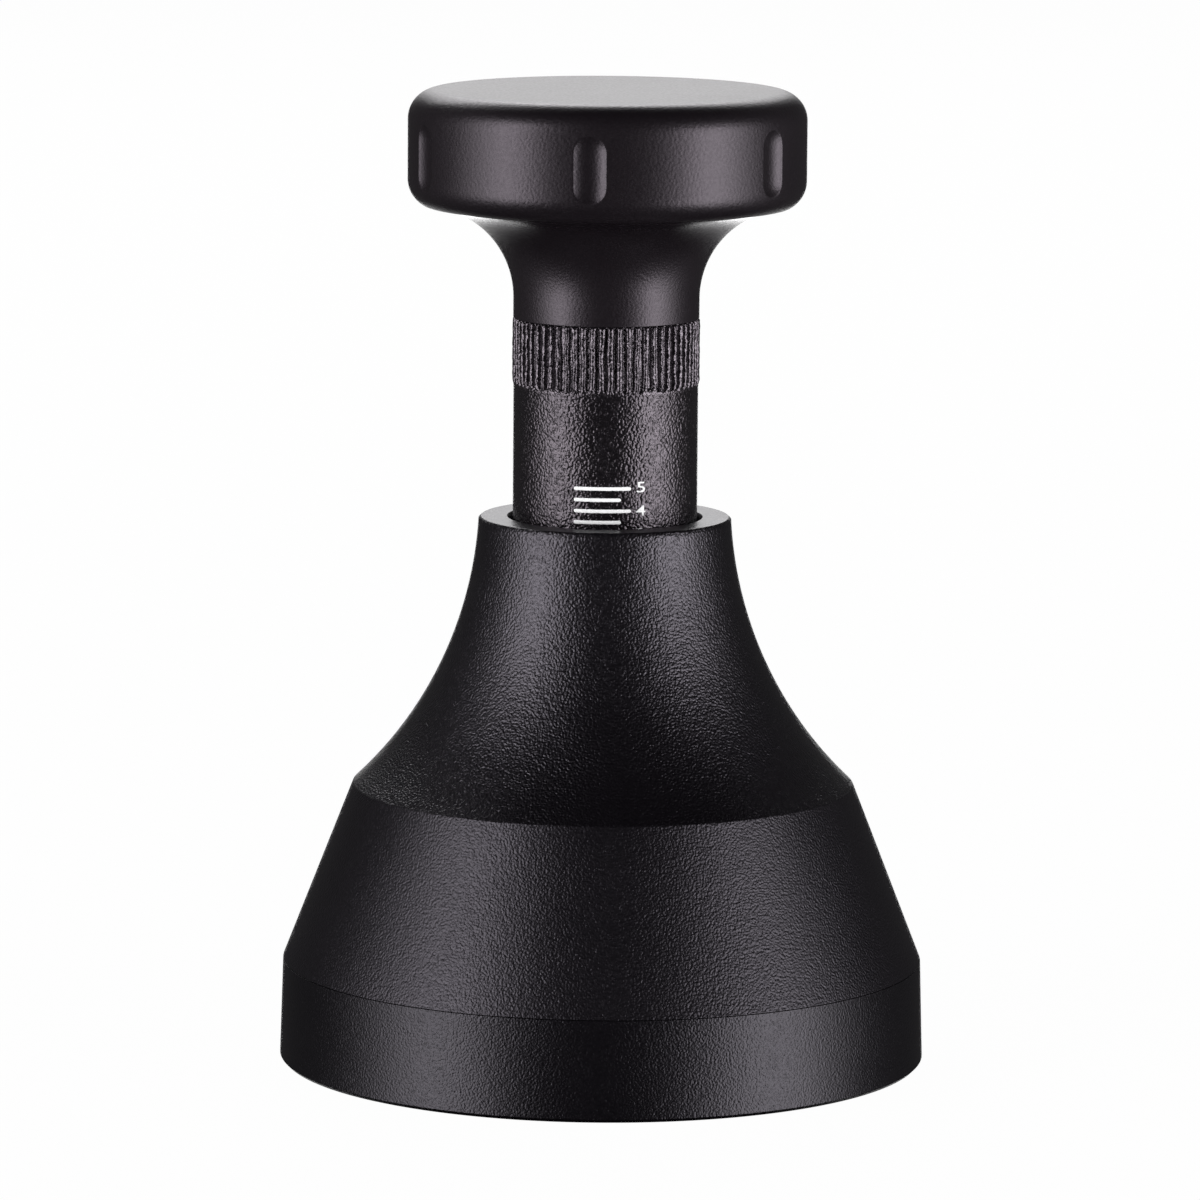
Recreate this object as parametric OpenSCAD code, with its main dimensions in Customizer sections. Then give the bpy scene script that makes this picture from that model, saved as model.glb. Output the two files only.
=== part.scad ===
// Calibrated espresso tamper with an adjustable spring, for a 58 mm filter basket.
// All sizes are in millimetres. +Z is up, and the origin is the centre of the tamping face.
// The model is shown with the setting at 3.2 and the knob at the top of its travel.

/* [Base] */
// Diameter of the tamping face
base_d = 58; // [50:0.1:60]
// Height of the base band, up to its joint with the bell
base_h = 9; // [8:0.1:12]
// Diameter of the base at its joint with the bell
base_joint_d = 57.46; // [49:0.1:60]
// Thickness of the floor inside the base
base_floor = 6; // [4:0.1:7]

/* [Bell] */
// Height of the crease between the cone and the flared waist
crease_z = 24.95; // [22:0.1:27]
// Diameter at that crease
crease_d = 45; // [42:0.1:50]
// Height of the flat ring round the mouth
mouth_z = 49.13; // [47:0.1:51]
// Diameter of the flat ring round the mouth
mouth_ring_d = 22.6; // [21:0.1:24]
// Radius of the flared waist's curve
waist_r = 35.7; // [34:0.1:44]
// Diameter of the mouth
mouth_d = 17.3; // [17:0.1:18]

/* [Sleeve and scale] */
// Diameter of the sleeve
sleeve_d = 16.5; // [16.3:0.1:16.8]
// Height where the knurled band starts
knurl_z = 61; // [58:0.1:63]
// Height of the joint between the sleeve and the neck
neck_z = 67; // [65:0.1:69]
// Number of ridges round the knurled band
ridges = 64; // [32:1:90]
// Rise of the sleeve in one turn of its thread
lead = 2; // [1.5:0.5:2.5]
// Setting at which the model stands
reading = 3.23; // [2.5:0.01:3.6]
// Highest setting on the scale
top_setting = 5; // [5:1:6]
// Height of a number on the scale
digit_h = 0.9; // [0.7:0.05:1.2]

/* [Neck and knob] */
// Height of the neck's flat top, inside the knob
rim_z = 77.36; // [77:0.02:78]
// Diameter of the neck's lip, inside the knob's skirt
rim_d = 29.8; // [26:0.1:30]
// Radius of the curve under the lip
flare_r = 8.285; // [7:0.1:9]
// Diameter of the knob
knob_d = 35.5; // [33:0.1:38]
// Height of the knob's underside
knob_z = 76.96; // [76.8:0.02:78]
// Height of the knob's flat top
top_z = 87.3; // [85:0.1:90]
// Number of finger flutes round the knob
flutes = 6; // [4:1:10]
// Direction of the first flute, from the front towards the right
flute_turn = -5; // [-30:0.1:30]
// Diameter of the plunger's rod
rod_d = 8; // [7:0.1:8.4]

/* [Spring] */
// Diameter of the spring's wire
wire_d = 1.6; // [1.2:0.1:1.7]
// Diameter of the spring at the middle of its wire
coil_d = 9; // [8.6:0.1:9.2]
// Number of turns, with the closed ones at the ends
coils = 13; // [9:0.5:14]

/* [Hidden] */
$fn = 96;
eps = 0.02;
base_r = base_d / 2;
joint_r = base_joint_d / 2;
crease_r = crease_d / 2;
ring_r = mouth_ring_d / 2;
mouth_r = mouth_d / 2;
sleeve_r = sleeve_d / 2;
rod_r = rod_d / 2;
slip = 0.05;

// screw joint between the base and the bell
register_r = 24.4;
register_top = 12;
spigot_r = 22.6;
spigot_top = 17.6;
screw_pitch = 1.5;
screw_depth = 0.85;
screw_turns = 3;
screw_z = 12.6;
screw_gap = 0.15;
screw_root_r = spigot_r - screw_depth;
recess_r = 18.5;
bevel = 0.4;
seal_z = 10.6;
seal_r = 0.7;
groove_half = 0.75;
groove_floor_r = register_r - 1.45;

// parts inside the bell
nut_z = 25;
nut_top = 35;
nut_flange_t = 2.5;
nut_flange_r = 15;
nut_body_r = 11;
screw_ring_r = 12.95;
screw_r = 1;
screw_head_r = 1.9;
screw_l = 7;
screw_spare = 0.8;
nut_clear_z = nut_top + 0.3;
cavity_r = 20;
cavity_z = spigot_top + 0.4;
joint_edge = 0.08;
ring_edge = 0.22;
mouth_edge = 0.15;
bush_z = 43;
bush_top = 47;
bush_r = 10;
mouth_seal_z = bush_z + 2;

// adjusting thread on the sleeve and in the nut
thread_r = 7.95;
thread_root_r = 6.85;
thread_slack = 0.2;
root_half = 0.6;
crest_half = 0.3;
side_slack = 0.15;
thread_facets = 24;

// sleeve, from its lower end up
sleeve_z = 16.5;
stop_ring_z = 17.35;
stop_ring_t = 1.2;
stop_ring_r = 9.2;
groove_r = 6.4;
thread_z = 19.4;
tail_r = 6.7;
sleeve_shoulder_z = 38.65;
sleeve_bore_r = 5.7;
stop_z = 56;
spigot_z = 60.4;
neck_socket_r = 6.7;
knurl_crest_r = sleeve_r + 0.12;
knurl_root_r = sleeve_r - 0.16;
knurl_stop = 0.25;

// post, spring and plunger
post_r = 5.3;
post_top = 23;
post_stud_r = 4;
post_hole_z = 2.6;
collar_r = 6.6;
pin_r = 3.4;
pin_top = 38;
boss_r = 9;
boss_top = 9;
seat_t = 1;
spring_z = post_top + seat_t;
washer_t = 0.8;
flange_t = 2.4;
cap_t = 1.2;
flange_z = stop_z - washer_t - flange_t;
spring_top = flange_z - cap_t;
neck_bush_z = 62;
neck_bush_top = 73.7;
neck_pocket_r = 5.5;
neck_base_r = sleeve_r + 0.05;
lip_t = 0.5;
press = 1.2;
bumper_in = 7;
bumper_out = 10;
bumper_z = rim_z - 0.78;
bumper_top = rim_z + 0.08;
bumper_gap = 0.05;
stud_r = 3;
stud_z = 80;
stud_top = 84.5;

// knob: its lower rounding stops short, at a crisp edge
skirt_r = rim_d / 2 + 0.3;
top_round = 2.6;
low_round = 2.93;
low_end = 55;
flute_bite = 0.47;
flute_ball = 2.8;
flute_low = 80.24;
flute_high = 83.15;

// scale
print_t = 0.03;
tick_t = 0.34;
tick_left = -19.4;
tick_right = 16.1;
half_tick_right = 9.8;
digit_turn = 22;

// a ring with a rectangular section
module ring(outer, inner, z0, z1) {
    rotate_extrude()
        translate([inner, z0])
            square([outer - inner, z1 - z0]);
}

// a ring with a round section
module round_ring(middle, section, z) {
    rotate_extrude()
        translate([middle, z])
            circle(section, $fn = 32);
}

// a cylinder between two heights
module rod(radius, z0, z1) {
    translate([0, 0, z0])
        cylinder(r = radius, h = z1 - z0);
}

// points on an arc of a circle in the plane of a profile
function arc(cx, cz, r, a0, a1, steps = 24) =
    [for (i = [0 : steps]) let (a = a0 + (a1 - a0) * i / steps) [cx + r * cos(a), cz + r * sin(a)]];

// crests and roots of the screw joint, from the bottom up, at a distance out from its own profile
function screw_profile(out) =
    [for (i = [0 : screw_turns - 1]) let (z = screw_z + i * screw_pitch)
        for (p = [[0, 0], [0, 0.35], [-screw_depth, 0.8], [-screw_depth, 1.05]])
            [spigot_r + out + p[0], z + p[1]]];

// centre of the waist's circle, which passes through the crease and the mouth ring
function waist_centre() =
    let (dr = ring_r - crease_r, dz = mouth_z - crease_z, d = norm([dr, dz]))
    let (h = sqrt(waist_r * waist_r - d * d / 4))
    [(ring_r + crease_r) / 2 + h * dz / d, (mouth_z + crease_z) / 2 - h * dr / d];

module tamping_base() {
    edge = 0.3;
    color("#26242a")
        difference() {
            rotate_extrude()
                polygon(concat(
                    [[0, 0], [base_r - edge, 0], [base_r, edge], [joint_r, base_h], [register_r, base_h]],
                    [[register_r, seal_z - groove_half], [groove_floor_r, seal_z - groove_half]],
                    [[groove_floor_r, seal_z + groove_half], [register_r, seal_z + groove_half]],
                    [[register_r, register_top], [screw_root_r, register_top]],
                    screw_profile(0),
                    [[screw_root_r, spigot_top - bevel], [screw_root_r - bevel, spigot_top]],
                    [[recess_r, spigot_top], [recess_r, base_floor], [boss_r, base_floor]],
                    [[boss_r, boss_top - bevel], [boss_r - bevel, boss_top], [0, boss_top]]));
            rod(post_stud_r + eps, post_hole_z, boss_top + 1);
        }
}

module base_seal() {
    color("#1b1b1c")
        round_ring(register_r - seal_r - eps, seal_r, seal_z);
}

module bell() {
    c = waist_centre();
    a0 = atan2(crease_z - c[1], crease_r - c[0]);
    high = mouth_z - ring_edge - c[1];
    a1 = atan2(high, -sqrt(waist_r * waist_r - high * high));
    a1_turned = a1 < 0 ? a1 + 360 : a1;
    a0_turned = a0 < 0 ? a0 + 360 : a0;
    color("#201e24")
        difference() {
            rotate_extrude($fn = 180)
                polygon(concat(
                    [[register_r + slip, base_h + eps], [joint_r - joint_edge, base_h + eps]],
                    [[joint_r, base_h + eps + joint_edge]],
                    arc(c[0], c[1], waist_r, a0_turned, a1_turned, 40),
                    [[ring_r - ring_edge, mouth_z], [mouth_r + mouth_edge, mouth_z]],
                    [[mouth_r, mouth_z - mouth_edge], [mouth_r, bush_top + eps]],
                    [[bush_r + eps, bush_top + eps], [bush_r + eps, nut_clear_z]],
                    [[nut_body_r + eps, nut_clear_z], [nut_body_r + eps, nut_z + nut_flange_t + eps]],
                    [[nut_flange_r + 0.1, nut_z + nut_flange_t + eps], [nut_flange_r + 0.1, nut_z - 0.2]],
                    [[cavity_r, cavity_z + 1], [cavity_r, cavity_z], [screw_root_r + screw_gap, cavity_z]],
                    [for (i = [len(screw_profile(0)) - 1 : -1 : 0]) screw_profile(screw_gap)[i]],
                    [[screw_root_r + screw_gap, register_top + 0.1],
                     [register_r + slip, register_top + 0.1]]));
            for (a = [45 : 90 : 315])
                rotate(a)
                    translate([screw_ring_r, 0, 0])
                        rod(screw_r + eps, nut_z, nut_z + screw_l + screw_spare);
        }
}

module mouth_bush() {
    color("#d8d4c8")
        difference() {
            ring(bush_r, sleeve_r + slip, bush_z, bush_top);
            ring(sleeve_r + 1.35, sleeve_r - 1, mouth_seal_z - 0.7, mouth_seal_z + 0.7);
        }
}

module mouth_seal() {
    color("#1b1b1c")
        round_ring(sleeve_r + 0.7, 0.62, mouth_seal_z);
}

// a solid helix: a core of one radius with a ridge that rises by one lead a turn, cut flat at both ends;
// the ridge's half width is low_half at the core and high_half at its crest
module helix(root, crest, low_half, high_half, z0, z1) {
    n = thread_facets;
    turns = ceil((z1 - z0) / lead) + 3;
    last = n * turns;
    start = lead * (floor(z0 / lead) - 1);
    profile = [[root, -low_half], [crest, -high_half], [crest, high_half], [root, low_half]];
    points = concat(
        [for (i = [0 : last]) for (p = profile) let (a = 360 * i / n)
            [p[0] * cos(a), p[0] * sin(a), start + lead * i / n + p[1]]],
        [[0, 0, start + lead / 2], [0, 0, start + lead * turns - lead / 2]]);
    bottom = 4 * (last + 1);
    top = bottom + 1;
    low_edge = concat([for (i = [0 : n]) 4 * i], [3, 2, 1, 0]);
    high_edge = concat([for (i = [last : -1 : last - n]) 4 * i + 3], [for (k = [0 : 3]) 4 * last + k]);
    faces = concat(
        [for (i = [0 : last - 1]) for (k = [0 : 2]) let (q = 4 * i + k) [q, q + 1, q + 5]],
        [for (i = [0 : last - 1]) for (k = [0 : 2]) let (q = 4 * i + k) [q, q + 5, q + 4]],
        [for (i = [0 : last - n - 1]) let (q = 4 * i + 3, r = 4 * (i + n)) [q, r, r + 4]],
        [for (i = [0 : last - n - 1]) let (q = 4 * i + 3, r = 4 * (i + n)) [q, r + 4, q + 4]],
        [for (j = [0 : len(low_edge) - 2]) [bottom, low_edge[j], low_edge[j + 1]]],
        [for (j = [0 : len(high_edge) - 2]) [top, high_edge[j], high_edge[j + 1]]]);
    intersection() {
        polyhedron(points, faces);
        translate([-crest - 1, -crest - 1, z0])
            cube([2 * crest + 2, 2 * crest + 2, z1 - z0]);
    }
}

module thread_nut() {
    color("#b08d3c")
        difference() {
            union() {
                rod(nut_flange_r, nut_z, nut_z + nut_flange_t);
                rod(nut_body_r, nut_z, nut_top);
            }
            helix(thread_root_r + thread_slack, thread_r + thread_slack, root_half + side_slack,
                crest_half + side_slack, nut_z - 1, nut_top + 1);
            for (a = [45 : 90 : 315])
                rotate(a)
                    translate([screw_ring_r, 0, 0]) {
                        rod(screw_r + 0.1, nut_z - 1, nut_z + nut_flange_t + 1);
                        screw_cone(screw_head_r + 0.05);
                    }
        }
}

// the cone of a countersunk screw head, flush with the nut's flange
module screw_cone(head_r) {
    translate([0, 0, nut_z - eps])
        cylinder(r1 = head_r, r2 = screw_r * 0.9, h = head_r - screw_r * 0.9, $fn = 48);
}

module nut_screws() {
    under_head_r = screw_r * 0.95;
    color("#8e8f92")
        for (a = [45 : 90 : 315])
            rotate(a)
                translate([screw_ring_r, 0, 0])
                    difference() {
                        union() {
                            rod(screw_r, nut_z + 0.3, nut_z + screw_l);
                            translate([0, 0, nut_z])
                                cylinder(r1 = screw_head_r, r2 = under_head_r,
                                         h = screw_head_r - under_head_r);
                        }
                        translate([0, 0, nut_z - 1])
                            cylinder(r = 0.75, h = 1.7, $fn = 6);
                    }
}

module guide_post() {
    low = post_hole_z + 0.2;
    color("#9a9ca0")
        union() {
            rotate_extrude()
                polygon([[0, low], [post_stud_r - bevel, low], [post_stud_r, low + bevel],
                    [post_stud_r, boss_top], [post_r, boss_top], [post_r, post_top], [pin_r, post_top],
                    [pin_r, pin_top - 2 * bevel], [pin_r - 2 * bevel, pin_top], [0, pin_top]]);
            rotate(30)
                translate([0, 0, boss_top + eps])
                    cylinder(r = collar_r, h = 2.6, $fn = 6);
        }
}

module spring_seat() {
    color("#8e8f92")
        ring(post_r, pin_r + slip, post_top, spring_z);
}

// height of the spring's centre line after a number of turns, with one closed turn at each end
function coil_z(t) =
    let (rise = spring_top - spring_z - wire_d, open = (rise - 2 * wire_d) / (coils - 2))
    spring_z + wire_d / 2 + min(t, 1) * wire_d + max(0, min(t, coils - 1) - 1) * open
        + max(0, t - coils + 1) * wire_d;

module main_spring() {
    steps = 16;
    sides = 6;
    last = steps * coils;
    points = [for (i = [0 : last]) for (k = [0 : sides - 1])
        let (a = 360 * i / steps, b = 360 * k / sides, r = coil_d / 2 + wire_d / 2 * cos(b))
            [r * cos(a), r * sin(a), coil_z(i / steps) + wire_d / 2 * 0.97 * sin(b)]];
    faces = concat(
        [[for (k = [0 : sides - 1]) k]],
        [for (i = [0 : last - 1]) for (k = [0 : sides - 1])
            let (q = sides * i, m = (k + 1) % sides) [q + k, q + sides + k, q + sides + m, q + m]],
        [[for (k = [sides - 1 : -1 : 0]) sides * last + k]]);
    color("#77797d")
        polyhedron(points, faces);
}

module slip_washer() {
    color("#e8e6de")
        ring(sleeve_bore_r - 0.1, rod_r + 0.15, stop_z - washer_t, stop_z);
}

module sleeve() {
    color("#232126")
        difference() {
            union() {
                rod(tail_r, sleeve_z, sleeve_shoulder_z + 1);
                helix(thread_root_r, thread_r, root_half, crest_half, thread_z, sleeve_shoulder_z + 0.5);
                rod(sleeve_r, sleeve_shoulder_z, knurl_z);
                translate([0, 0, knurl_z])
                    linear_extrude(neck_z - knurl_z - knurl_stop)
                        knurl_outline();
                rod(knurl_root_r - 0.12, neck_z - knurl_stop - 0.05, neck_z - eps);
            }
            rod(sleeve_bore_r, sleeve_z - 1, stop_z);
            rod(rod_r + 0.2, stop_z - 1, spigot_z + 1);
            rod(neck_socket_r, spigot_z, neck_z + 1);
            ring(sleeve_r + 2, groove_r, stop_ring_z, stop_ring_z + stop_ring_t + 0.08);
        }
}

// outline of the straight ridges of the knurled band
module knurl_outline() {
    ridge = [[0, knurl_root_r], [0.3, knurl_crest_r], [0.7, knurl_crest_r]];
    polygon([for (i = [0 : ridges - 1]) for (p = ridge)
        let (a = 360 * (i + p[0]) / ridges) [p[1] * cos(a), p[1] * sin(a)]]);
}

// height of a reading on the scale, which stands level with the mouth when it is set
function scale_z(value) = mouth_z + (value - reading) * lead;

module scale_ticks() {
    color("#e9e9ec")
        for (value = [0 : 0.5 : top_setting])
            let (right = value == floor(value) ? tick_right : half_tick_right)
                rotate([0, 0, tick_left - 90])
                    rotate_extrude(angle = right - tick_left)
                        translate([sleeve_r, scale_z(value) - tick_t / 2])
                            square([print_t, tick_t]);
}

// a band of a number's line that follows an oval
module curve(cx, cz, rx, rz, a0, a1, w) {
    steps = 10;
    polygon(concat(
        [for (i = [0 : steps]) let (a = a0 + (a1 - a0) * i / steps)
            [cx + (rx + w / 2) * cos(a), cz + (rz + w / 2) * sin(a)]],
        [for (i = [steps : -1 : 0]) let (a = a0 + (a1 - a0) * i / steps)
            [cx + (rx - w / 2) * cos(a), cz + (rz - w / 2) * sin(a)]]));
}

// a straight band of a number's line
module stroke(p, q, w) {
    along = (q - p) / norm(q - p) * w / 2;
    side = [-along[1], along[0]];
    polygon([p + side, p - side, q - side, q + side]);
}

// a bold number from 0 to 5, with its centre at the origin
module digit(value) {
    w = digit_h * 0.22;
    x = digit_h * 0.36;
    up = (digit_h - w) / 2;
    half = up / 2;
    if (value == 0)
        for (start = [-1, 179])
            curve(0, 0, x, up, start, start + 182, w);
    if (value == 1) {
        stroke([0, -digit_h / 2], [0, digit_h / 2], w);
        stroke([-x * 0.8, up * 0.55], [w * 0.2, up * 1.05], w * 0.8);
    }
    if (value == 2) {
        curve(0, half, x, half, -25, 165, w);
        stroke([x, half * 0.6], [-x * 0.9, -up], w);
        stroke([-x - w / 2, -up], [x + w / 2, -up], w);
    }
    if (value == 3)
        for (side = [1, -1])
            curve(0, side * half, x, half, side > 0 ? -90 : -160, side > 0 ? 160 : 90, w);
    if (value == 4) {
        stroke([x * 0.5, -digit_h / 2], [x * 0.5, digit_h / 2], w);
        stroke([-x * 1.25, -half * 0.5], [x * 1.3, -half * 0.5], w);
        stroke([-x * 1.1, -half * 0.5], [x * 0.5, up], w);
    }
    if (value == 5) {
        curve(-x * 0.1, -half * 0.7, x * 1.1, half * 1.3, -150, 125, w);
        stroke([-x, up], [x + w / 2, up], w);
        stroke([-x + w * 0.2, -w * 0.2], [-x + w * 0.2, digit_h / 2], w);
    }
}

module scale_numbers() {
    color("#e9e9ec")
        for (value = [0 : top_setting])
            intersection() {
                rotate(digit_turn)
                    translate([0, 0, scale_z(value)])
                        rotate([90, 0, 0])
                            linear_extrude(sleeve_r + 1)
                                digit(value);
                ring(sleeve_r + print_t, sleeve_r, mouth_z - 20, mouth_z + 10);
            }
}

module stop_ring() {
    color("#8e8f92")
        rotate([0, 0, 110])
            rotate_extrude(angle = 320)
                translate([groove_r + 0.05, stop_ring_z + 0.04])
                    square([stop_ring_r - groove_r - 0.05, stop_ring_t]);
}

module neck() {
    reach = rim_d / 2 - neck_base_r;
    fall = sqrt(flare_r * flare_r - pow(flare_r - reach, 2));
    a1 = acos((flare_r - reach) / flare_r);
    color("#29272d")
        rotate_extrude($fn = 180)
            polygon(concat(
                [[rod_r + 0.2, spigot_z + 0.3], [neck_socket_r - slip - 0.3, spigot_z + 0.3]],
                [[neck_socket_r - slip, spigot_z + 0.6], [neck_socket_r - slip, neck_z]],
                [[neck_base_r - 0.1, neck_z], [neck_base_r, neck_z + 0.1]],
                arc(neck_base_r + flare_r, rim_z - lip_t - fall, flare_r, 180, 180 - a1, 32),
                [[rim_d / 2, rim_z - 0.1], [rim_d / 2 - 0.1, rim_z]],
                [[bumper_out + bumper_gap, rim_z], [bumper_out + bumper_gap, bumper_z - eps]],
                [[bumper_in - bumper_gap, bumper_z - eps], [bumper_in - bumper_gap, rim_z]],
                [[neck_pocket_r, rim_z], [neck_pocket_r, neck_bush_z], [rod_r + 0.2, neck_bush_z]]));
}

module neck_bush() {
    color("#a9793c")
        ring(neck_pocket_r - eps, rod_r + slip, neck_bush_z, neck_bush_top);
}

module neck_seal() {
    color("#1b1b1c")
        round_ring((neck_pocket_r + rod_r) / 2 + 0.02, seal_r, neck_bush_top + 0.75);
}

module gland_ring() {
    color("#29272d")
        ring(neck_pocket_r - eps, rod_r + 0.15, neck_bush_top + 1.5, rim_z - 0.3);
}

module bumper_ring() {
    color("#1b1b1c")
        ring(bumper_out, bumper_in, bumper_z, bumper_top);
}

module spring_cap() {
    tip = 1.8;
    tip_r = 3.5;
    color("#d8d4c8")
        rotate_extrude()
            polygon([[0, spring_top - tip], [tip_r - 0.6, spring_top - tip], [tip_r, spring_top - tip + 0.6],
                [tip_r, spring_top], [post_r, spring_top], [post_r, flange_z], [0, flange_z]]);
}

module plunger() {
    color("#9a9ca0")
        rotate_extrude()
            polygon([[0, flange_z], [sleeve_bore_r - 0.1, flange_z],
                     [sleeve_bore_r - 0.1, flange_z + flange_t],
                [rod_r, flange_z + flange_t], [rod_r, stud_z], [stud_r, stud_z], [stud_r, stud_top - bevel],
                [stud_r - bevel, stud_top], [0, stud_top]]);
}

module knob() {
    r = knob_d / 2;
    ceiling = bumper_top + press;
    color("#29272d")
        difference() {
            rotate_extrude($fn = 180)
                polygon(concat(
                    [[0, ceiling], [skirt_r, ceiling], [skirt_r, knob_z]],
                    arc(r - low_round, knob_z + low_round * sin(low_end), low_round, -low_end, 0, 12),
                    arc(r - top_round, top_z - top_round, top_round, 0, 90, 12),
                    [[0, top_z]]));
            rod(rod_r + eps, ceiling - 1, stud_z + eps);
            rod(stud_r + eps, stud_z - 1, stud_top + 0.3);
            for (i = [0 : flutes - 1])
                rotate(flute_turn - 90 + 360 * i / flutes)
                    translate([r - flute_bite + flute_ball, 0, 0]) {
                        rod(flute_ball, flute_low, flute_high);
                        for (z = [flute_low, flute_high])
                            translate([0, 0, z])
                                sphere(flute_ball, $fn = 48);
                    }
        }
}

tamping_base();
base_seal();
bell();
mouth_bush();
mouth_seal();
thread_nut();
nut_screws();
guide_post();
spring_seat();
main_spring();
slip_washer();
sleeve();
scale_ticks();
scale_numbers();
stop_ring();
neck();
neck_bush();
neck_seal();
gland_ring();
bumper_ring();
spring_cap();
plunger();
knob();
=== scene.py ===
import math

import bpy
from mathutils import Matrix, Vector
from mathutils.noise import noise as bpyNoise


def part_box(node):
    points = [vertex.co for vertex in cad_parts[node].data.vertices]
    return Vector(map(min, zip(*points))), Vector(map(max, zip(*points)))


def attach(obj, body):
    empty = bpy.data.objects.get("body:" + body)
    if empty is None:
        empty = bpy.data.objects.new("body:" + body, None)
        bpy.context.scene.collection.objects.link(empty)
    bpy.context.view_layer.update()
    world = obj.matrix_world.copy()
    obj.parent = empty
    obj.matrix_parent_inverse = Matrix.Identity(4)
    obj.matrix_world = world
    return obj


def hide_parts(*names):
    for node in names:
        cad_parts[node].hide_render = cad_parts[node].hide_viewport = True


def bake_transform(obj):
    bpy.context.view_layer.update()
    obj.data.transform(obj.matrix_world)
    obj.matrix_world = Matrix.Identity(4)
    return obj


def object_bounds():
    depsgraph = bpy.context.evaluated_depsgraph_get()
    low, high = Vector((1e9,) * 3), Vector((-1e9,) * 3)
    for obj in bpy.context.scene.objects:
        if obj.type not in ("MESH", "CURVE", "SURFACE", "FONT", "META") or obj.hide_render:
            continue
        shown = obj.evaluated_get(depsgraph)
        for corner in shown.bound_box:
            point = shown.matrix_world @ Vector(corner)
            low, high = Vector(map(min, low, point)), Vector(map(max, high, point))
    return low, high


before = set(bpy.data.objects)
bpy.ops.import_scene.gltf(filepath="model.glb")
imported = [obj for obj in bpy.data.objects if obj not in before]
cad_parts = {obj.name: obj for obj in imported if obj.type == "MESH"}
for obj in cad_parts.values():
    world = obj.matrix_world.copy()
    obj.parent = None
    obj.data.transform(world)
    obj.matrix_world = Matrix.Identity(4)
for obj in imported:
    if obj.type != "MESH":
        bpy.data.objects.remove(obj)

# Calibrated espresso tamper: every CAD node gets a finely turned piece and its own finish.
# Sizes in the dictionaries are millimetres and degrees; Blender's own units are metres.
# In a function that makes a piece, s is that piece's dictionary of sizes.

mm = 0.001
fit = 0.02  # the gap left between two fitted pieces
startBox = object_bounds()


class Socket:  # an output that can be used in plain arithmetic
    def __init__(self, tree, output):
        self.tree = tree
        self.output = output

    def maths(self, operation, first, second):
        return addNode(self.tree, "ShaderNodeMath", {"operation": operation}, {0: first, 1: second})

    def __add__(self, other):
        return self.maths("ADD", self, other)

    def __radd__(self, other):
        return self.maths("ADD", other, self)

    def __sub__(self, other):
        return self.maths("SUBTRACT", self, other)

    def __rsub__(self, other):
        return self.maths("SUBTRACT", other, self)

    def __mul__(self, other):
        return self.maths("MULTIPLY", self, other)

    def __rmul__(self, other):
        return self.maths("MULTIPLY", other, self)


def addNode(tree, kind, settings=None, sockets=None, output=0):
    # settings come first, because they can change which sockets a node has
    node = tree.nodes.new(kind)
    for name, value in (settings or {}).items():
        setattr(node, name, value)
    for name, value in (sockets or {}).items():
        if isinstance(value, Socket):
            tree.links.new(value.output, node.inputs[name])
        else:
            node.inputs[name].default_value = value
    return Socket(tree, node.outputs[output]) if node.outputs else None


def newMaterial(name):
    material = bpy.data.materials.new(name)
    material.use_nodes = True
    material.node_tree.nodes.clear()
    return material, material.node_tree


def finishMaterial(material, shader):
    addNode(material.node_tree, "ShaderNodeOutputMaterial", None, {"Surface": shader})
    return material


def placeOn(tree, stretch=(1, 1, 1)):
    # the piece's own coordinates, which are the frame's, in metres
    place = addNode(tree, "ShaderNodeTexCoord", output=3)
    return addNode(tree, "ShaderNodeVectorMath", {"operation": "MULTIPLY"}, {0: place, 1: stretch})


def noise(tree, place, size, detail=2.0, rough=0.5):
    return addNode(tree, "ShaderNodeTexNoise", None,
                   {"Vector": place, "Scale": 1 / (size * mm), "Detail": detail, "Roughness": rough})


def blendColour(tree, factor, first, second):
    return addNode(tree, "ShaderNodeMix", {"data_type": "RGBA"}, {0: factor, 6: first, 7: second}, output=2)


print("tamper: helpers ready")


def sweep(centreR, centreZ, radius, start, end, steps=24):
    points = []
    for i in range(steps + 1):
        a = math.radians(start + (end - start) * i / steps)
        points.append((centreR + radius * math.cos(a), centreZ + radius * math.sin(a)))
    return points


def roundOff(corners, steps=5):
    # corners are (radius, height) or (radius, height, size of the rounding)
    outline = []
    count = len(corners)
    for i, corner in enumerate(corners):
        here = Vector(corner[:2])
        size = corner[2] if len(corner) > 2 else 0
        if not size:
            outline.append(tuple(here))
            continue
        back = (Vector(corners[i - 1][:2]) - here).normalized()
        on = (Vector(corners[(i + 1) % count][:2]) - here).normalized()
        half = back.angle(on) / 2
        centre = here + (back + on).normalized() * size / math.sin(half)
        first = here + back * size / math.tan(half) - centre
        last = here + on * size / math.tan(half) - centre
        turnBy = first.angle_signed(last)
        for k in range(steps + 1):
            spoke = first.copy()
            spoke.rotate(Matrix.Rotation(-turnBy * k / steps, 2))
            outline.append(tuple(centre + spoke))
    return outline


def evenAngles(count):
    return [360 * i / count for i in range(count)]


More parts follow.
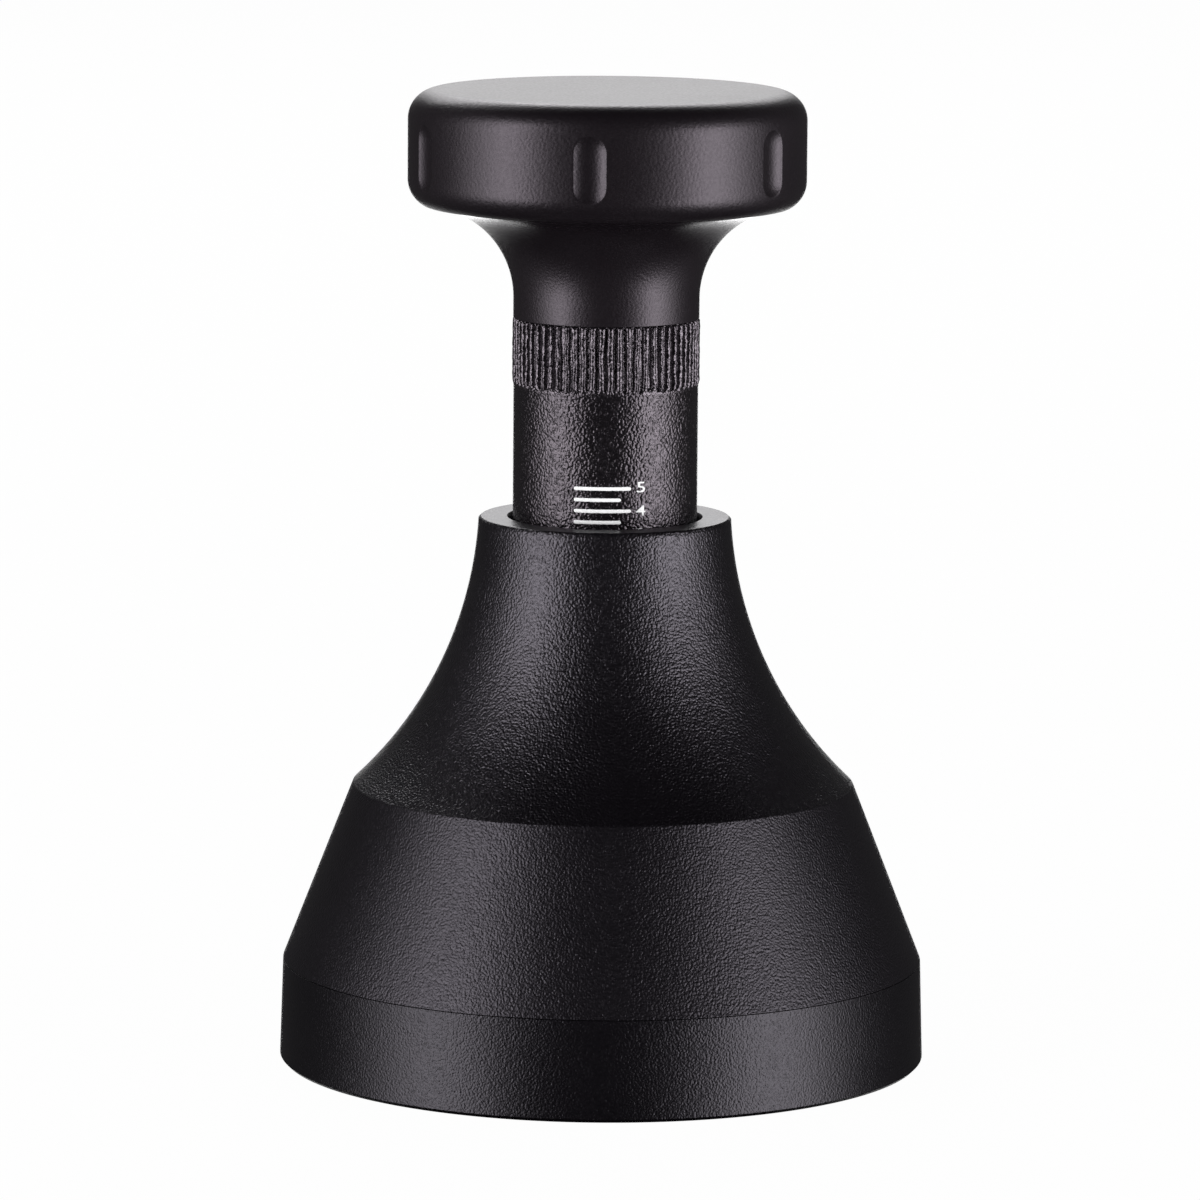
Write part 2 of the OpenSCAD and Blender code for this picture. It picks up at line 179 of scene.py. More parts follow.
def turn(name, outline, angles=None, reshape=None, places=((0, 0),), whole=True):
    # a closed outline of (radius, height) turned round the axis; reshape may move a point's radius
    angles = angles or evenAngles(256)
    vertices, faces = [], []
    for x, y in places:
        rings = []
        for radius, height in outline:
            if radius < 1e-6:
                rings.append([len(vertices)])
                vertices.append((x * mm, y * mm, height * mm))
                continue
            ring = []
            for angle in angles:
                r = reshape(radius, height, angle) if reshape else radius
                a = math.radians(angle - 90)
                ring.append(len(vertices))
                vertices.append(((x + r * math.cos(a)) * mm, (y + r * math.sin(a)) * mm, height * mm))
            rings.append(ring)
        for i, ring in enumerate(rings):
            joinRings(faces, ring, rings[(i + 1) % len(rings)], len(angles), whole)
        if not whole:
            faces.append(tuple(ring[0] for ring in rings))
            faces.append(tuple(ring[-1] for ring in rings[::-1]))
    return makePiece(name, vertices, faces)


def joinRings(faces, ring, following, count, whole):
    if len(ring) == 1 and len(following) == 1:
        return
    for k in range(count if whole else count - 1):
        n = (k + 1) % count
        if len(ring) == 1:
            faces.append((ring[0], following[n], following[k]))
        elif len(following) == 1:
            faces.append((ring[k], ring[n], following[0]))
        else:
            faces.append((ring[k], ring[n], following[n], following[k]))


def makePiece(name, vertices, faces):
    mesh = bpy.data.meshes.new(name)
    mesh.from_pydata(vertices, [], faces)
    mesh.validate()
    mesh.polygons.foreach_set("use_smooth", [True] * len(mesh.polygons))
    piece = bpy.data.objects.new(name, mesh)
    bpy.context.scene.collection.objects.link(piece)
    return piece


def bakedMesh(source):
    # a mesh of the object as its settings and modifiers leave it
    bpy.context.view_layer.update()
    return bpy.data.meshes.new_from_object(source.evaluated_get(bpy.context.evaluated_depsgraph_get()))


def fitPiece(piece, body, slotName, material, *nodes):
    piece.data.materials.append(material)
    normals = piece.modifiers.new("even normals", "WEIGHTED_NORMAL")
    normals.keep_sharp = True
    if body:
        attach(piece, body)
    if nodes:
        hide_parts(*nodes)
    return piece


def addCoat(piece, material, covers):
    piece.data.materials.append(material)
    for polygon in piece.data.polygons:
        if covers(polygon.center):
            polygon.material_index = len(piece.data.materials) - 1


def texturedBlack(name, look):
    # sprayed and baked coating over blasted metal: wrinkled lumps, fine pits and a slow change in gloss
    material, tree = newMaterial(name)
    place = placeOn(tree)
    lumps = noise(tree, place, look["grain"], 0.0)
    fine = noise(tree, place, look["grain"] * 0.6, 0.0)
    slow = noise(tree, place, look["grain"] * 60)
    lumpShare = 0.75
    height = (lumps * lumpShare + fine * (1 - lumpShare)) * (slow * 0.6 + 0.7)
    bump = addNode(tree, "ShaderNodeBump", None,
                   {"Strength": 1.0, "Distance": look["depth"] * mm, "Height": height})
    tone = blendColour(tree, slow, look["dark"] + (1,), look["light"] + (1,))
    gloss = lumps * look["glossSpread"] + slow * 0.05 + (look["roughness"] - look["glossSpread"] / 2)
    if "shine" in look:
        z = addNode(tree, "ShaderNodeSeparateXYZ", None, {0: place}, output=2)
        rise = {0: z, 1: look["shineFrom"] * mm, 2: look["shineTo"] * mm, 4: look["shine"]}
        gloss = gloss - addNode(tree, "ShaderNodeMapRange", {"interpolation_type": "SMOOTHSTEP"}, rise)
    shader = addNode(tree, "ShaderNodeBsdfPrincipled", None,
                     {"Base Color": tone, "Roughness": gloss, "Normal": bump,
                      "IOR": look["ior"], "Specular Tint": look["tint"] + (1,)})
    return finishMaterial(material, shader)


bellLook = {"grain": 0.21, "depth": 0.09, "roughness": 0.32, "glossSpread": 0.12, "ior": 1.52,
            "tint": (0.94, 0.87, 1.0), "dark": (0.0014, 0.001, 0.0016), "light": (0.0022, 0.0017, 0.0025)}
coneLook = dict(bellLook, grain=0.2, depth=0.07, roughness=0.35, ior=1.445)
landLook = dict(bellLook, grain=0.2, depth=0.03, roughness=0.32, ior=1.6)
baseLook = {"grain": 0.19, "depth": 0.058, "roughness": 0.33, "glossSpread": 0.1, "ior": 1.39,
            "tint": (0.94, 0.88, 1.0), "dark": (0.0008, 0.0005, 0.001), "light": (0.0014, 0.001, 0.0017)}
sleeveLook = {"grain": 0.23, "depth": 0.12, "roughness": 0.24, "glossSpread": 0.14, "ior": 1.55,
              "tint": (1.0, 0.88, 1.0), "dark": (0.0036, 0.003, 0.0037), "light": (0.0048, 0.004, 0.005)}
knurlLook = dict(sleeveLook, grain=0.2, depth=0.095, ior=1.74)
knobLook = {"grain": 0.26, "depth": 0.02, "roughness": 0.35, "glossSpread": 0.1, "ior": 1.46,
            "tint": (1.0, 0.88, 1.0), "dark": (0.005, 0.0036, 0.0048), "light": (0.0062, 0.0047, 0.006)}
neckLook = dict(knobLook, grain=0.2, depth=0.022, shine=0.22, shineFrom=75.2, shineTo=77.0)

bellCoat = texturedBlack("coarse black coat", bellLook)
coneCoat = texturedBlack("closer black coat", coneLook)
landCoat = texturedBlack("rubbed black coat", landLook)
baseCoat = texturedBlack("fine black coat", baseLook)
sleeveCoat = texturedBlack("hammered black coat", sleeveLook)
knurlCoat = texturedBlack("coat on the ridges", knurlLook)
knobCoat = texturedBlack("satin black anodising", knobLook)
neckCoat = texturedBlack("sprayed black neck", neckLook)


def plainFinish(name, look):
    # turned metal, plastic or rubber: faint rings of the tool, speckle and uneven gloss
    material, tree = newMaterial(name)
    rings = noise(tree, placeOn(tree, (0.02, 0.02, 1)), look["ring"], 2.0, 0.6)
    speckle = noise(tree, placeOn(tree), look["grain"], 3.0, 0.6)
    height = rings * look["ringShare"] + speckle * (1 - look["ringShare"])
    bump = addNode(tree, "ShaderNodeBump", None,
                   {"Strength": 1.0, "Distance": look["depth"] * mm, "Height": height})
    tone = blendColour(tree, speckle, look["dark"] + (1,), look["light"] + (1,))
    shader = addNode(tree, "ShaderNodeBsdfPrincipled", None,
                     {"Base Color": tone, "Roughness": rings * 0.12 + (look["roughness"] - 0.06),
                      "Normal": bump, "Metallic": look["metal"]})
    return finishMaterial(material, shader)


steelLook = {"ring": 0.12, "grain": 0.3, "ringShare": 0.7, "depth": 0.004, "roughness": 0.3, "metal": 1.0,
             "dark": (0.48, 0.49, 0.5), "light": (0.62, 0.63, 0.64)}
springLook = {"ring": 0.5, "grain": 0.2, "ringShare": 0.3, "depth": 0.004, "roughness": 0.36, "metal": 1.0,
              "dark": (0.32, 0.33, 0.35), "light": (0.46, 0.47, 0.49)}
brassLook = {"ring": 0.14, "grain": 0.3, "ringShare": 0.7, "depth": 0.005, "roughness": 0.32, "metal": 1.0,
             "dark": (0.62, 0.44, 0.18), "light": (0.76, 0.57, 0.27)}
bronzeLook = {"ring": 0.2, "grain": 0.16, "ringShare": 0.3, "depth": 0.01, "roughness": 0.5, "metal": 1.0,
              "dark": (0.42, 0.26, 0.13), "light": (0.58, 0.39, 0.2)}
acetalLook = {"ring": 0.16, "grain": 0.4, "ringShare": 0.6, "depth": 0.005, "roughness": 0.42, "metal": 0.0,
              "dark": (0.74, 0.71, 0.64), "light": (0.82, 0.8, 0.74)}
rubberLook = {"ring": 0.4, "grain": 0.14, "ringShare": 0.2, "depth": 0.008, "roughness": 0.62, "metal": 0.0,
              "dark": (0.006, 0.006, 0.007), "light": (0.012, 0.012, 0.013)}
printLook = {"ring": 0.3, "grain": 0.12, "ringShare": 0.1, "depth": 0.01, "roughness": 0.5, "metal": 0.0,
             "dark": (0.86, 0.86, 0.87), "light": (0.95, 0.95, 0.96)}

steel = plainFinish("turned steel", steelLook)
springSteel = plainFinish("drawn spring wire", springLook)
brass = plainFinish("turned brass", brassLook)
bronze = plainFinish("sintered bronze", bronzeLook)
acetal = plainFinish("off-white acetal", acetalLook)
rubber = plainFinish("black nitrile", rubberLook)
whitePrint = plainFinish("white print", printLook)

print("tamper: finishes made")


def extent(node):
    # a node's outer radius, lowest height and highest height, in millimetres
    low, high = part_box(node)
    return high[0] / mm, low[2] / mm, high[2] / mm


def threadRings(crest, root, start, count=3, pitch=1.5):
    # a coarse thread's crests and roots as plain rings, from its lower end up
    rings = []
    for i in range(count):
        z = start + i * pitch
        rings += [(crest, z), (crest, z + 0.35), (root, z + 0.8), (root, z + 1.05)]
    return rings


baseSizes = {"edge": 0.3, "floorZ": 6.0, "recessR": 18.5, "registerR": 24.4, "registerTop": 12.0,
             "screwR": 22.6, "screwZ": 12.6, "threadDepth": 0.85, "sealHalf": 0.75, "sealDeep": 1.45,
             "bossR": 9.0, "bossTop": 9.0, "studR": 4.0, "holePast": 0.2}


def makeBase(s):
    faceR, bottom, top = extent("tamping_base")
    jointR, jointZ = extent("bell")[:2]
    jointZ -= fit
    root = s["screwR"] - s["threadDepth"]
    grooveR = s["registerR"] - s["sealDeep"]
    sealZ = sum(extent("base_seal")[1:]) / 2
    grooveLow, grooveHigh = sealZ - s["sealHalf"], sealZ + s["sealHalf"]
    holeR, holeZ = s["studR"] + fit, extent("guide_post")[1] - s["holePast"]
    corners = [(0, bottom), (faceR - s["edge"], bottom, 0.08), (faceR, bottom + s["edge"], 0.12),
               (jointR, jointZ, 0.04), (s["registerR"], jointZ),
               (s["registerR"], grooveLow), (grooveR, grooveLow),
               (grooveR, grooveHigh), (s["registerR"], grooveHigh),
               (s["registerR"], s["registerTop"], 0.2), (root, s["registerTop"])]
    corners += threadRings(s["screwR"], root, s["screwZ"])
    corners += [(root, top - 0.4), (root - 0.4, top), (s["recessR"], top, 0.2),
                (s["recessR"], s["floorZ"], 0.6), (s["bossR"], s["floorZ"], 0.4),
                (s["bossR"], s["bossTop"], 0.5), (holeR, s["bossTop"]), (holeR, holeZ), (0, holeZ)]
    base = turn("baseDisc", roundOff(corners), evenAngles(360))
    fitPiece(base, "housing", "base_black", baseCoat, "tamping_base")


makeBase(baseSizes)

bellSizes = {"jointEdge": 0.06, "creaseR": 22.5, "creaseZ": 24.95, "creaseEdge": 0.35, "waistR": 35.7,
             "ringR": 11.3, "ringEdge": 0.22, "land": 0.1, "mouthR": 8.65, "mouthEdge": 0.12,
             "nutR": 11.0, "nutRoom": 0.3, "flangeT": 2.5, "flangePlay": 0.1, "slopeTop": 24.8,
             "slopeLow": 19.0, "cavityR": 20.0, "cavityLow": 18.0, "registerR": 24.45,
             "registerTop": 12.1, "screwR": 22.75, "screwZ": 12.6, "threadDepth": 0.85}


def waistPoints(s, top, steps=64):
    # the arc from the crease up to the ring, bulging towards the axis
    dr, dz = s["ringR"] - s["creaseR"], top - s["creaseZ"]
    chord = math.hypot(dr, dz)
    rise = math.sqrt(s["waistR"] ** 2 - chord ** 2 / 4)
    centreR = (s["ringR"] + s["creaseR"]) / 2 + rise * dz / chord
    centreZ = (top + s["creaseZ"]) / 2 - rise * dr / chord
    low = math.degrees(math.atan2(s["creaseZ"] - centreZ, s["creaseR"] - centreR)) % 360
    high = math.degrees(math.atan2(top - s["ringEdge"] - centreZ, s["ringR"] - centreR)) % 360
    return sweep(centreR, centreZ, s["waistR"], low, high, steps)


def makeBell(s):
    jointR, bottom, top = extent("bell")
    nutOuter, nutLow, nutHigh = extent("thread_nut")
    flangeR, flangeTop = nutOuter + s["flangePlay"], nutLow + s["flangeT"] + fit
    nutR, nutTop = s["nutR"] + fit, nutHigh + s["nutRoom"]
    bushR, bushTop = extent("mouth_bush")[0] + fit, extent("mouth_bush")[2] + fit
    root = s["screwR"] - s["threadDepth"]
    corners = [(s["registerR"], bottom), (jointR, bottom, s["jointEdge"]),
               (s["creaseR"], s["creaseZ"], s["creaseEdge"])]
    corners += waistPoints(s, top)[2:]
    corners += [(s["ringR"] - s["ringEdge"], top, 0.1), (s["mouthR"] + s["mouthEdge"], top, 0.04),
                (s["mouthR"], top - s["mouthEdge"]), (s["mouthR"], bushTop), (bushR, bushTop),
                (bushR, nutTop), (nutR, nutTop), (nutR, flangeTop), (flangeR, flangeTop),
                (flangeR, s["slopeTop"]), (s["cavityR"], s["slopeLow"]),
                (s["cavityR"], s["cavityLow"]), (root, s["cavityLow"])]
    corners += threadRings(s["screwR"], root, s["screwZ"])[::-1]
    corners += [(root, s["registerTop"]), (s["registerR"], s["registerTop"])]
    bell = turn("bellShell", roundOff(corners), evenAngles(360))
    fitPiece(bell, "housing", "bell_black", bellCoat, "bell")
    addCoat(bell, coneCoat, lambda centre: centre.z < s["creaseZ"] * mm)
    addCoat(bell, landCoat, lambda centre: centre.z > (top - s["land"]) * mm)


makeBell(bellSizes)
print("tamper: base and bell made")


sleeveSizes = {"radius": 8.25, "shoulderZ": 38.65, "knurlZ": 61.0, "ridges": 64, "ridgeHeight": 0.34,
               "ridgeProud": 0.11, "ridgeWidth": 0.66, "widthSpread": 0.2, "wander": 0.16, "lump": 0.05,
               "crown": 0.42, "runOut": 0.5, "lineDown": 0.35, "lineHalf": 0.09, "lineDeep": 0.03,
               "rowStep": 0.1, "bore": 5.7, "rodR": 4.2, "socketR": 6.7, "socketRoom": 0.3, "tailR": 6.7,
               "threadZ": 19.4, "threadRoot": 6.85, "threadCrest": 7.95, "threadRows": 130, "lead": 2.0,
               "grooveR": 6.4, "ringPlay": 0.04}


def knurl(s, top):
    # straight coarse ridges that the coating has filled unevenly, fading out at both ends
    def reshape(radius, height, angle):
        if radius < s["radius"] - 0.4 or height < s["knurlZ"] - 0.45:
            return radius
        if height < s["knurlZ"] - 0.2:
            closeness = 1 - min(1, abs(height - s["knurlZ"] + s["lineDown"]) / s["lineHalf"])
            return radius - closeness * (s["lineDeep"] + s["lump"] * unevenness(angle * 0.04, 0, 31))
        turnShare = angle / 360 * s["ridges"]
        ridge = math.floor(turnShare)
        across = turnShare - ridge
        wander = s["wander"] * unevenness(ridge * 3.7, height * 0.5, 1)
        width = s["ridgeWidth"] + s["widthSpread"] * unevenness(ridge * 5.3, height * 0.25, 5)
        edge = abs(across - 0.5 - wander) * 2 / width
        rise = 1 - s["crown"] * min(edge, 1) ** 2 - (1 - s["crown"]) * smoothStep((edge - 0.75) / 0.5)
        lump = s["lump"] * unevenness(ridge * 9.1 + across * 2.2, height * 2.3, 9)
        fade = smoothStep((height - s["knurlZ"] - 0.2 * unevenness(ridge * 7.9, 0, 3)) / s["runOut"])
        fade *= smoothStep((top - height) / 0.12)
        return radius + fade * (rise * (s["ridgeHeight"] + lump) - s["ridgeHeight"] + s["ridgeProud"])
    return reshape


def unevenness(x, y, seed):
    return bpyNoise(Vector((x, y, seed * 17.3)))


def smoothStep(t):
    t = min(1.0, max(0.0, t))
    return t * t * (3 - 2 * t)


def makeSleeveBody(s):
    top = extent("sleeve")[2]
    stopZ, socketZ = extent("slip_washer")[2], extent("neck")[1] - s["socketRoom"]
    knurlRows = [(s["radius"], s["knurlZ"] - s["lineDown"] + s["rowStep"] * i) for i in range(-1, 62)]
    corners = [(s["threadRoot"] - 0.2, s["shoulderZ"]), (s["radius"], s["shoulderZ"], 0.3)]
    corners += [row for row in knurlRows if row[1] < top - 0.28]
    corners += [(s["radius"], top - 0.18), (s["radius"], top - 0.08), (s["radius"] - 0.12, top),
                (s["socketR"], top), (s["socketR"], socketZ), (s["rodR"], socketZ),
                (s["rodR"], stopZ), (s["bore"], stopZ), (s["bore"], s["shoulderZ"])]
    body = turn("sleeveBody", roundOff(corners), evenAngles(s["ridges"] * 16), knurl(s, top))
    fitPiece(body, "setting_sleeve", "sleeve_black", sleeveCoat, "sleeve")
    addCoat(body, knurlCoat, lambda centre: centre.z > (s["knurlZ"] - 0.1) * mm)


def makeSleeveThread(s):
    # the sleeve below its shoulder: the adjusting thread, and the groove for the stop ring
    bottom = extent("sleeve")[1]
    threadTop = s["shoulderZ"] + fit
    rise = (threadTop - s["threadZ"]) / s["threadRows"]
    ringLow, ringHigh = extent("stop_ring")[1:]
    grooveLow, grooveHigh = ringLow - s["ringPlay"], ringHigh + s["ringPlay"]

    def outerRidge(radius, height, angle):
        if radius < s["threadRoot"] + 0.4:
            return radius
        share = ridgeShare(height, angle, s["lead"], 0.6, 0.3)
        return s["threadRoot"] + (s["threadCrest"] - s["threadRoot"]) * share

    corners = [(s["bore"], bottom), (s["tailR"], bottom, 0.2), (s["tailR"], grooveLow),
               (s["grooveR"], grooveLow), (s["grooveR"], grooveHigh), (s["tailR"], grooveHigh),
               (s["tailR"], s["threadZ"])]
    corners += [(s["threadCrest"], s["threadZ"] + rise * i) for i in range(s["threadRows"] + 1)]
    corners += [(s["bore"], threadTop)]
    thread = turn("sleeveThread", roundOff(corners), evenAngles(180), outerRidge)
    fitPiece(thread, "setting_sleeve", "sleeve_black", threadCoat, "sleeve")


def ridgeShare(height, angle, lead, low, high):
    # how far up its flank a right-hand thread is: 0 at the core and 1 at the crest
    phase = ((height - lead * (angle - 90) / 360) / lead + 0.5) % 1 - 0.5
    return min(1, max(0, (low - abs(phase) * lead) / (low - high)))


scaleSizes = {"sleeveR": 8.25, "proud": 0.03, "reading": 3.23, "step": 2.0, "top": 5,
              "lineWidth": 0.34, "left": -19.4, "right": 16.1, "halfRight": 9.8, "columns": 60,
              "raggedness": 0.018, "numberTurn": 22.5, "numberHeight": 0.95, "numberSpread": 1.04,
              "numberDrop": 0.03, "numberWide": 1.45, "thin": 0.002}


def wrapOnSleeve(s, x, z, lift):
    # a flat drawing's point, x along the surface from the front and z up, laid on the sleeve
    angle = x / s["sleeveR"] - math.pi / 2
    radius = (s["sleeveR"] + lift) * mm
    return (radius * math.cos(angle), radius * math.sin(angle), z * mm)


def makeLines(s):
    vertices, faces = [], []
    mouthZ = extent("bell")[2]
    for k in range(2 * s["top"] + 1):
        value = k / 2
        middle = mouthZ + (value - s["reading"]) * s["step"]
        right = s["right"] if k % 2 == 0 else s["halfRight"]
        columns = s["columns"]
        start = len(vertices)
        for i in range(columns + 1):
            x = math.radians(s["left"] + (right - s["left"]) * i / columns) * s["sleeveR"]
            ends = min(i, columns - i) / columns * math.radians(right - s["left"]) * s["sleeveR"]
            half = s["lineWidth"] / 2
            if ends < half:
                half = math.sqrt(max(0, half ** 2 - (half - ends) ** 2)) * 0.5 + half * 0.5
            half += s["raggedness"] * unevenness(x * 4.5, middle, 21)
            flat = half - s["proud"]
            for z, lift in ((-half, 0), (-flat, s["proud"]), (flat, s["proud"]), (half, 0)):
                vertices.append(wrapOnSleeve(s, x, middle + z, lift))
        for i in range(columns):
            for j in range(3):
                a = start + 4 * i + j
                faces.append((a, a + 4, a + 5, a + 1))
            a = start + 4 * i
            faces.append((a + 3, a + 7, a + 4, a))
        a = start + 4 * columns
        faces += [(start, start + 1, start + 2, start + 3), (a + 3, a + 2, a + 1, a)]
    lines = makePiece("scaleLines", vertices, faces)
    fitPiece(lines, "setting_sleeve", "white_print", whitePrint, "scale_ticks")


def drawDigit(s, value):
    # one number's flat points, in millimetres from its own middle, and its faces
    curve = bpy.data.curves.new("number", "FONT")
    curve.body = str(value)
    curve.align_x = "CENTER"
    curve.size = 1
    curve.offset = s["thin"]
    curve.resolution_u = 6
    drawn = bpy.data.objects.new("number", curve)
    bpy.context.scene.collection.objects.link(drawn)
    flat = bakedMesh(drawn)
    xs = [v.co.x for v in flat.vertices]
    ys = [v.co.y for v in flat.vertices]
    middleX, middleY = (min(xs) + max(xs)) / 2, (min(ys) + max(ys)) / 2
    grow = s["numberHeight"] / (max(ys) - min(ys))
    points = [((x - middleX) * grow * s["numberWide"], (y - middleY) * grow) for x, y in zip(xs, ys)]
    faces = [tuple(polygon.vertices) for polygon in flat.polygons]
    bpy.data.objects.remove(drawn)
    bpy.data.curves.remove(curve)
    bpy.data.meshes.remove(flat)
    return points, faces


def makeNumbers(s):
    vertices, faces = [], []
    mouthZ = extent("bell")[2]
    column = math.radians(s["numberTurn"]) * s["sleeveR"]
    for value in range(s["top"] + 1):
        middle = mouthZ + (value - s["reading"]) * s["step"] * s["numberSpread"] - s["numberDrop"]
        points, digitFaces = drawDigit(s, value)
        faces += [tuple(len(vertices) + i for i in face) for face in digitFaces]
        vertices += [wrapOnSleeve(s, column + x, middle + z, s["proud"]) for x, z in points]
    numbers = makePiece("scaleNumbers", vertices, faces)
    thick = numbers.modifiers.new("print thickness", "SOLIDIFY")
    thick.thickness = s["proud"] * mm
    thick.offset = -1
    fitPiece(numbers, "setting_sleeve", "white_print", whitePrint, "scale_numbers")


threadLook = dict(sleeveLook, grain=0.2, depth=0.01, roughness=0.42)
threadCoat = texturedBlack("coated thread", threadLook)

makeSleeveBody(sleeveSizes)
makeSleeveThread(sleeveSizes)
makeLines(scaleSizes)
makeNumbers(scaleSizes)
print("tamper: sleeve and scale made")


neckSizes = {"radius": 8.3, "flareR": 8.285, "lip": 0.5, "spigotR": 6.65, "rodR": 4.2,
             "grooveIn": 6.95, "bumperPlay": 0.05}


def makeNeck(s):
    lipR, spigotZ, top = extent("neck")
    bottom = extent("sleeve")[2] + fit
    pocketR, bushZ = extent("gland_ring")[0] + fit, extent("neck_bush")[1]
    grooveR, grooveZ = extent("bumper_ring")[0] + s["bumperPlay"], extent("bumper_ring")[1] - fit
    reach = lipR - s["radius"]
    fall = math.sqrt(s["flareR"] ** 2 - (s["flareR"] - reach) ** 2)
    last = 180 - math.degrees(math.acos((s["flareR"] - reach) / s["flareR"]))
    corners = [(s["rodR"], spigotZ), (s["spigotR"], spigotZ, 0.3), (s["spigotR"], bottom),
               (s["radius"], bottom, 0.1)]
    corners += sweep(s["radius"] + s["flareR"], top - s["lip"] - fall, s["flareR"], 180, last, 56)[1:]
    corners += [(lipR, top, 0.1), (grooveR, top), (grooveR, grooveZ), (s["grooveIn"], grooveZ),
                (s["grooveIn"], top), (pocketR, top), (pocketR, bushZ), (s["rodR"], bushZ)]
    neck = turn("neckCollar", roundOff(corners), evenAngles(256))
    fitPiece(neck, "setting_sleeve", "satin_black", neckCoat, "neck")


knobSizes = {"topRound": 2.6, "lowRound": 2.6, "lowEnd": 60, "rimUp": 0.14, "rimEdge": 0.08,
             "skirtR": 15.2, "ceilingZ": 78.66, "rodR": 4.02, "rodTop": 80.02, "studR": 3.02,
             "studRoom": 0.3, "flutes": 6, "firstFlute": -5.0, "bite": 0.47, "cutterR": 2.8,
             "fluteLow": 80.24, "fluteHigh": 83.15, "fluteEdge": 0.03, "fluteReach": 1.2, "rows": 84,
             "fineStep": 0.2, "coarseStep": 1.0, "fineHalf": 7}


def awayFromFlute(s, angle):
    # how far an angle is from the middle of the nearest flute
    spread = 360 / s["flutes"]
    return (angle - s["firstFlute"] + spread / 2) % spread - spread / 2


def knobAngles(s):
    # finer steps across the flutes than between them
    angles, step = [], 0
    while step < 360:
        angles.append(step)
        step += s["fineStep"] if abs(awayFromFlute(s, step)) < s["fineHalf"] else s["coarseStep"]
        step = round(step, 6)
    return angles


def fluteCut(s, knobR):
    # a round cutter's upright path, which takes a shallow bite out of the knob's side
    axisR = knobR - s["bite"] + s["cutterR"]

    def cut(radius, height, angle):
        if radius < knobR - s["fluteReach"]:
            return radius
        past = max(0, s["fluteLow"] - height, height - s["fluteHigh"])
        side = math.radians(awayFromFlute(s, angle))
        room = s["cutterR"] ** 2 - past ** 2 - (axisR * math.sin(side)) ** 2
        if room <= 0:
            return radius
        return softLeast(radius, axisR * math.cos(side) - math.sqrt(room), s["fluteEdge"])
    return cut


def makeKnob(s):
    knobR, bottom, top = extent("knob")
    end = math.radians(s["lowEnd"])
    heel = s["lowRound"] - s["rimEdge"]
    low, high = bottom + s["rimUp"] + s["rimEdge"] + heel * math.sin(end), top - s["topRound"]
    studTop = extent("plunger")[2] + s["studRoom"]
    outline = [(0, studTop), (s["studR"], studTop), (s["studR"], s["rodTop"]),
               (s["rodR"], s["rodTop"]), (s["rodR"], s["ceilingZ"]), (s["skirtR"], s["ceilingZ"]),
               (s["skirtR"], bottom + s["rimUp"])]
    outline += sweep(knobR - s["lowRound"] + heel * math.cos(end), low - heel * math.sin(end), s["rimEdge"],
                     -90, -s["lowEnd"], 4)[:-1]
    outline += sweep(knobR - s["lowRound"], low, s["lowRound"], -s["lowEnd"], 0, 24)[:-1]
    outline += [(knobR, low + (high - low) * i / s["rows"]) for i in range(s["rows"] + 1)]
    outline += sweep(knobR - s["topRound"], high, s["topRound"], 0, 90, 28)[1:]
    outline += [(0, top)]
    knob = turn("palmKnob", outline, knobAngles(s), fluteCut(s, knobR))
    fitPiece(knob, "palm_knob", "satin_black", knobCoat, "knob")


def softLeast(a, b, reach):
    # the smaller of two sizes, with the corner between them rounded
    near = max(0, reach - abs(a - b)) / reach
    return min(a, b) - near * near * reach / 4


makeNeck(neckSizes)
makeKnob(knobSizes)
print("tamper: neck and knob made")


# plain rings: body, material slot, finish, inner radius and the rounding of their edges
plainRings = {
    "mouthBush": ("mouth_bush", "housing", "acetal", acetal, 8.3, 0.25),
    "springSeat": ("spring_seat", "housing", "steel", steel, 3.45, 0.15),
    "slipWasher": ("slip_washer", "carrier", "acetal", acetal, 4.15, 0.15),
    "neckBush": ("neck_bush", "setting_sleeve", "bronze", bronze, 4.05, 0.3),
    "glandRing": ("gland_ring", "setting_sleeve", "steel", steel, 4.15, 0.2),
    "bumperRing": ("bumper_ring", "setting_sleeve", "rubber", rubber, 7.0, 0.3),
}


def makePlainRings(rings):
    for name, (node, body, slotName, finish, inner, edge) in rings.items():
        outer, low, high = extent(node)
        outline = roundOff([(inner, low, edge), (outer, low, edge),
                            (outer, high, edge), (inner, high, edge)])
        fitPiece(turn(name, outline, evenAngles(192)), body, slotName, finish, node)


# round seals, with the fine seam that the mould leaves round the outside and inside
roundSeals = {"baseSeal": ("base_seal", "housing"), "mouthSeal": ("mouth_seal", "housing"),
              "neckSeal": ("neck_seal", "setting_sleeve")}


def makeRoundSeals(seals):
    for name, (node, body) in seals.items():
        outer, low, high = extent(node)
        section = (high - low) / 2
        outline = []
        steps = 48
        for i in range(steps):
            a = math.radians(360 * i / steps)
            size = section * (0.97 if i % (steps // 2) in (1, steps // 2 - 1) else 1.0)
            outline.append((outer - section + size * math.cos(a), (low + high) / 2 + size * math.sin(a)))
        fitPiece(turn(name, outline, evenAngles(256)), body, "rubber", rubber, node)


nutSizes = {"flangeT": 2.5, "bodyR": 11.0, "root": 8.15, "core": 7.05, "lead": 2.0, "rows": 100,
            "screwRing": 12.95, "screwR": 1.0, "headR": 1.9, "pitch": 0.4, "threadCut": 0.16,
            "hexR": 0.75, "hexDepth": 0.7, "holePlay": 0.1, "headPlay": 0.35, "sinkDeep": 0.85,
            "drillPast": 0.3}


